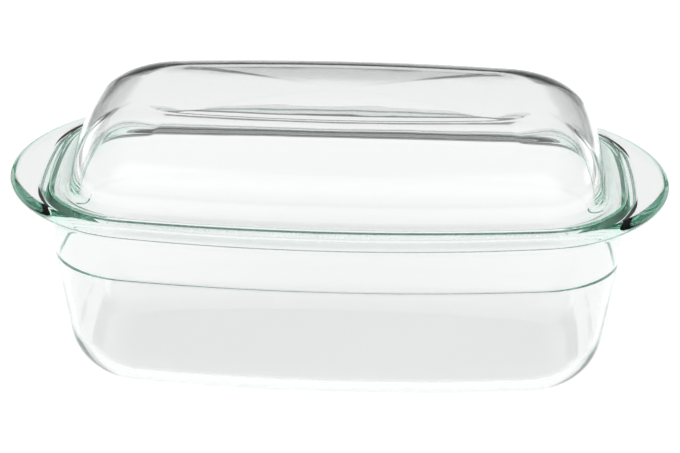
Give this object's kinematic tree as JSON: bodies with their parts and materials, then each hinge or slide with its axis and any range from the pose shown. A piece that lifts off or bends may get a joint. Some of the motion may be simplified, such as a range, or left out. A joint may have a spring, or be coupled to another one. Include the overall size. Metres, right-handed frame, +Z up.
{
  "type": "covered glass roasting dish",
  "caption": "Clear glass oblong roasting dish with flat crescent handles at its ends and a deep domed lid that lifts off, for baking and roasting.",
  "frame": {"origin": "middle of the flat base, on the surface that the dish stands on", "axes": "+X along the length from handle to handle, +Y across the width, +Z up"},
  "size_m": [0.38, 0.216, 0.1651],
  "materials": {
    "dish_glass": "clear pressed glass, fire polished, faint green in the thick edges",
    "lid_glass": "clear pressed glass, fire polished, faint green in the thick edges"
  },
  "bodies": {
    "dish": {"dish": "dish_glass"},
    "lid": {"lid": "lid_glass"}
  },
  "joints": [
    {"name": "lid_lift", "type": "slide", "parent": "dish", "child": "lid", "axis": [0, 0, 1], "range_m": [0, 0.2]}
  ]
}
